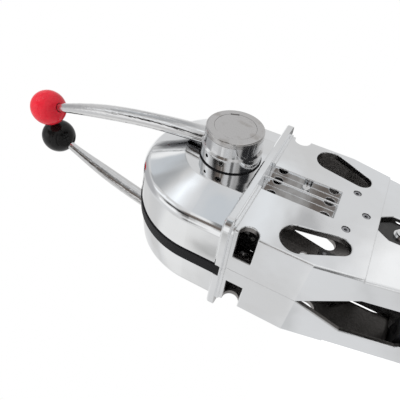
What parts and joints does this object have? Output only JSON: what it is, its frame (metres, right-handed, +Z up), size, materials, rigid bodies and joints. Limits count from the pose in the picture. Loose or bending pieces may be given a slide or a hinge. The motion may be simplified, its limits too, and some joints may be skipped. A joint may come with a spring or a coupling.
{
  "type": "boat throttle control lever",
  "caption": "Twin-lever top-mounted boat engine control: throttle and shift levers with ball knobs on a domed split housing with a frame that hangs below the deck.",
  "frame": {"origin": "middle of the deck flange's underside, on the seam between the two halves", "axes": "+Z up, away from the deck; +Y along the lever axis towards the throttle side; +X fore and aft, towards the cables"},
  "size_m": [0.157, 0.171, 0.4551],
  "materials": {
    "chrome_casting": "mirror polish",
    "polished_steel": "polished",
    "plain_steel": "zinc plated",
    "spring_steel": "bright drawn",
    "bronze": "machined",
    "black_rubber": "matte",
    "friction_lining": "matte",
    "red_knob": "gloss",
    "black_knob": "gloss",
    "black_plastic": "moulded"
  },
  "bodies": {
    "root": {"brake_leaf": "spring_steel", "brake_pad": "friction_lining", "clamp_bases": "black_plastic", "clamp_caps": "black_plastic", "clamp_screws": "plain_steel", "cross_tube": "plain_steel", "cross_tube_screws": "plain_steel", "detent_holder": "plain_steel", "detent_plug": "plain_steel", "detent_spring": "spring_steel", "joining_dowels": "plain_steel", "joining_nuts": "plain_steel", "joining_screws": "plain_steel", "neutral_switch_body": "black_plastic", "neutral_switch_tabs": "plain_steel", "plate_screws": "plain_steel", "port_anchor_plate": "plain_steel", "port_housing": "chrome_casting", "port_hub_seal": "black_rubber", "seam_strip": "black_rubber", "shaft_bushes": "bronze", "small_screws": "plain_steel", "starboard_anchor_plate": "plain_steel", "starboard_housing": "chrome_casting", "starboard_hub_seal": "black_rubber"},
    "throttle": {"throttle_brake_disc": "plain_steel", "throttle_cap_disc": "polished_steel", "throttle_crank": "plain_steel", "throttle_crank_pin": "plain_steel", "throttle_hub_cap": "polished_steel", "throttle_hub_nut": "plain_steel", "throttle_knob": "red_knob", "throttle_lever": "polished_steel", "throttle_pin_clip": "spring_steel", "throttle_roll_pin": "plain_steel", "throttle_set_screws": "plain_steel", "throttle_shaft": "plain_steel", "throttle_shaft_nut": "plain_steel", "throttle_web_rivets": "plain_steel"},
    "shift": {"shift_cap_disc": "polished_steel", "shift_crank": "plain_steel", "shift_crank_pin": "plain_steel", "shift_detent_sector": "plain_steel", "shift_hub_cap": "polished_steel", "shift_hub_nut": "plain_steel", "shift_knob": "black_knob", "shift_lever": "polished_steel", "shift_pin_clip": "spring_steel", "shift_roll_pin": "plain_steel", "shift_set_screws": "plain_steel", "shift_shaft": "plain_steel", "shift_shaft_nut": "plain_steel", "shift_web_rivets": "plain_steel"},
    "throttle_terminal": {"throttle_cable_terminal": "plain_steel"},
    "shift_terminal": {"shift_cable_terminal": "plain_steel"},
    "brake_screw": {"brake_adjusting_screw": "plain_steel"},
    "detent_plunger": {"detent_plunger": "plain_steel"},
    "switch_button": {"neutral_switch_button": "black_plastic"}
  },
  "joints": [
    {"name": "throttle_swing", "type": "hinge", "parent": "root", "child": "throttle", "pos_m": [0, 0, 0.0354], "axis": [0, 1, 0], "range_deg": [-42, 42]},
    {"name": "shift_swing", "type": "hinge", "parent": "root", "child": "shift", "pos_m": [0, 0, 0.0354], "axis": [0, 1, 0], "range_deg": [-35, 35]},
    {"name": "throttle_terminal_pivot", "type": "hinge", "parent": "throttle", "child": "throttle_terminal", "pos_m": [0.048, 0.0288, 0.0354], "axis": [0, 1, 0], "range_deg": [-42, 42]},
    {"name": "shift_terminal_pivot", "type": "hinge", "parent": "shift", "child": "shift_terminal", "pos_m": [0.048, -0.0288, 0.0354], "axis": [0, 1, 0], "range_deg": [-35, 35]},
    {"name": "brake_screw_turn", "type": "hinge", "parent": "root", "child": "brake_screw", "pos_m": [-0.0105, 0.0407, -0.0352], "axis": [0, 1, 0], "range_deg": [-360, 360]},
    {"name": "detent_plunger_slide", "type": "slide", "parent": "root", "child": "detent_plunger", "axis": [0, 0, 1], "range_m": [-0.0016, 0], "stiffness_N_per_m": 1200, "springref_m": -0.004, "deforming": ["detent_spring"]},
    {"name": "switch_button_slide", "type": "slide", "parent": "root", "child": "switch_button", "axis": [0, 0, 1], "range_m": [-0.0012, 0], "stiffness_N_per_m": 300, "springref_m": 0.001}
  ],
  "couplings": [
    {"joint": "throttle_terminal_pivot", "follows": "throttle_swing", "ratio": -1},
    {"joint": "shift_terminal_pivot", "follows": "shift_swing", "ratio": -1}
  ]
}
